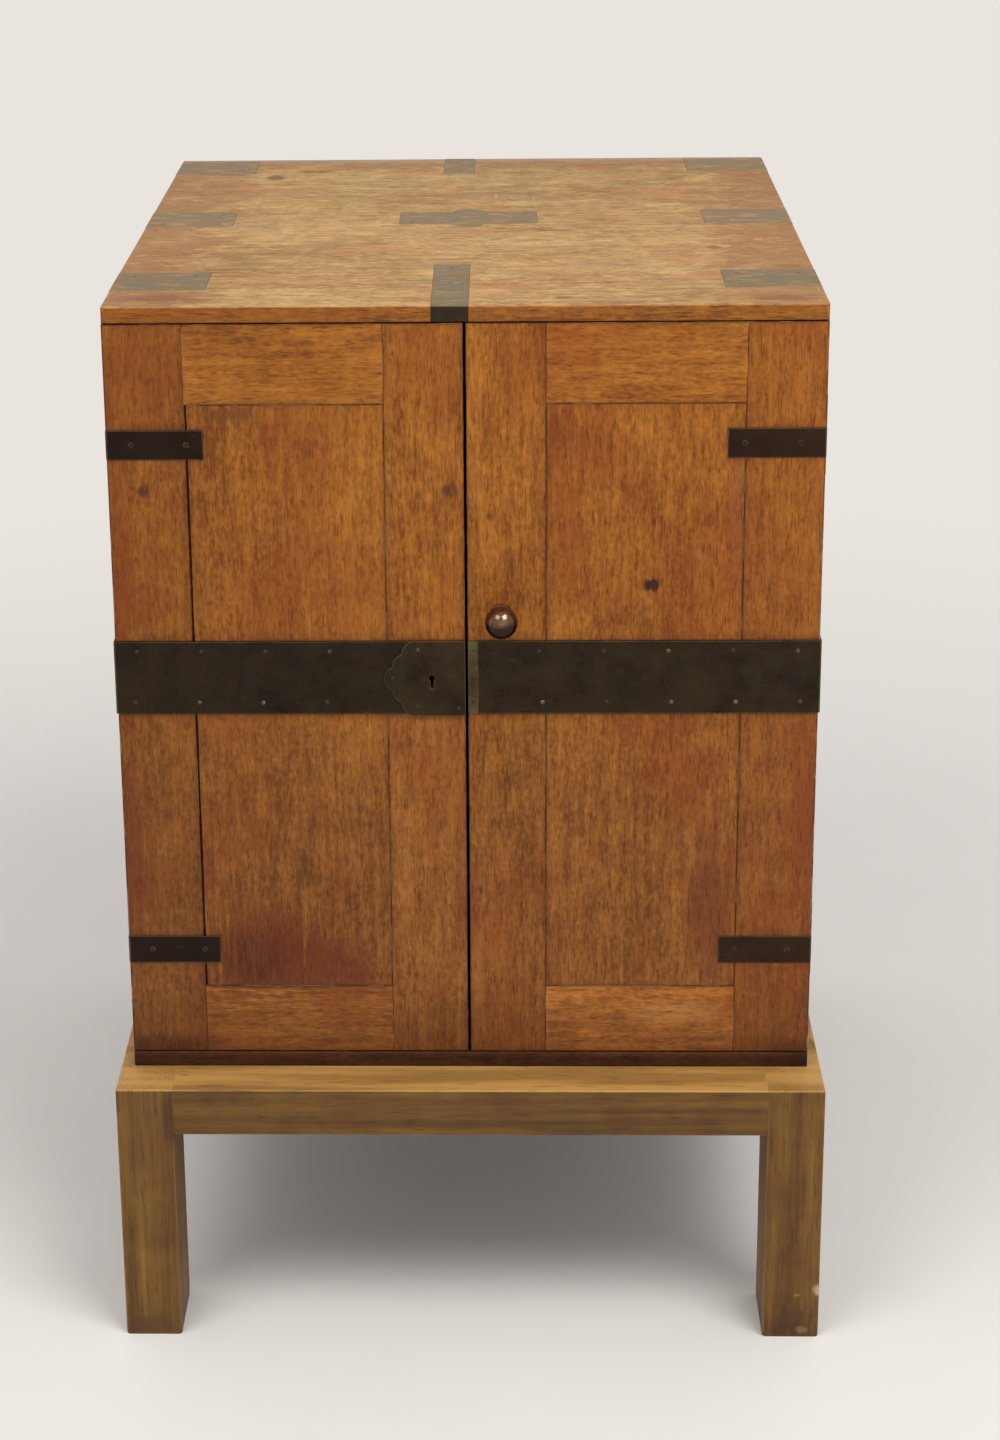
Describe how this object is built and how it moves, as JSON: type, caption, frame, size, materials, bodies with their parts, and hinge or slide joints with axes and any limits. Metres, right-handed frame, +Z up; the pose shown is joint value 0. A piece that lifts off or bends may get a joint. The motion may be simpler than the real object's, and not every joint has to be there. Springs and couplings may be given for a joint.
{
  "type": "campaign chest on stand",
  "caption": "Square brass-bound travelling chest with two flush-panelled doors, a wide brass band, flush corner straps and side handles, on a low stand with square legs.",
  "frame": {"origin": "middle of the stand's footprint, on the floor", "axes": "+Z up, the doors face -Y, +X to the viewer's right"},
  "size_m": [0.525, 0.595, 0.7951],
  "materials": {
    "door_wood": "worn oil and wax on golden brown wood",
    "carcass_wood": "worn oil and wax",
    "top_wood": "bleached by light, dry",
    "inner_wood": "dark, unpolished",
    "stand_wood": "olive brown, waxed",
    "dark_brass": "dark patina",
    "top_brass": "dull grey-green patina",
    "worn_brass": "rubbed by use",
    "iron": "dull"
  },
  "bodies": {
    "chest": {"stand_leg_front_left": "stand_wood", "stand_leg_front_right": "stand_wood", "stand_leg_back_left": "stand_wood", "stand_leg_back_right": "stand_wood", "stand_front_rail": "stand_wood", "stand_back_rail": "stand_wood", "stand_side_rail_left": "stand_wood", "stand_side_rail_right": "stand_wood", "top_board": "top_wood", "side_left": "carcass_wood", "side_right": "carcass_wood", "bottom_board": "inner_wood", "back_boards": "inner_wood", "upper_shelf": "inner_wood", "lower_shelf": "inner_wood", "top_straps_left": "top_brass", "top_straps_right": "top_brass", "top_strap_front": "top_brass", "top_strap_back": "top_brass", "top_plate": "top_brass", "side_band_left": "dark_brass", "side_band_right": "dark_brass", "side_straps_left": "dark_brass", "side_straps_right": "dark_brass", "hinge_case_leaves_left": "dark_brass", "hinge_case_leaves_right": "dark_brass", "hinge_pins_left": "dark_brass", "hinge_pins_right": "dark_brass", "handle_plate_left": "dark_brass", "handle_plate_right": "dark_brass"},
    "left_door": {"left_door_outer_stile": "door_wood", "left_door_inner_stile": "door_wood", "left_door_top_rail": "door_wood", "left_door_bottom_rail": "door_wood", "left_door_panel": "door_wood", "left_door_band": "dark_brass", "left_door_straps": "dark_brass", "lock_plate": "dark_brass", "lock_case": "iron", "bolt_guides": "dark_brass", "hinge_door_leaves_left": "dark_brass"},
    "right_door": {"right_door_outer_stile": "door_wood", "right_door_inner_stile": "door_wood", "right_door_top_rail": "door_wood", "right_door_bottom_rail": "door_wood", "right_door_panel": "door_wood", "right_door_band": "dark_brass", "right_door_straps": "dark_brass", "strike_plate": "worn_brass", "knob": "worn_brass", "knob_nut": "worn_brass", "hinge_door_leaves_right": "dark_brass"},
    "lock_bolt": {"lock_bolt": "worn_brass"},
    "upper_bolt": {"upper_bolt": "worn_brass"},
    "lower_bolt": {"lower_bolt": "worn_brass"},
    "left_handle": {"handle_left": "worn_brass"},
    "right_handle": {"handle_right": "worn_brass"}
  },
  "joints": [
    {"name": "right_door_hinge", "type": "hinge", "parent": "chest", "child": "right_door", "pos_m": [0.2528, -0.2402, 0.5], "axis": [0, 0, 1], "range_deg": [0, 120]},
    {"name": "left_door_hinge", "type": "hinge", "parent": "chest", "child": "left_door", "pos_m": [-0.2528, -0.2402, 0.5], "axis": [0, 0, -1], "range_deg": [0, 120]},
    {"name": "lock_bolt_slide", "type": "slide", "parent": "left_door", "child": "lock_bolt", "axis": [1, 0, 0], "range_m": [0, 0.008]},
    {"name": "upper_bolt_slide", "type": "slide", "parent": "left_door", "child": "upper_bolt", "axis": [0, 0, 1], "range_m": [0, 0.008]},
    {"name": "lower_bolt_slide", "type": "slide", "parent": "left_door", "child": "lower_bolt", "axis": [0, 0, -1], "range_m": [0, 0.008]},
    {"name": "right_handle_swing", "type": "hinge", "parent": "chest", "child": "right_handle", "pos_m": [0.248, 0.0238, 0.653], "axis": [0, -1, 0], "range_deg": [0, 90]},
    {"name": "left_handle_swing", "type": "hinge", "parent": "chest", "child": "left_handle", "pos_m": [-0.248, 0.0238, 0.653], "axis": [0, 1, 0], "range_deg": [0, 90]}
  ]
}
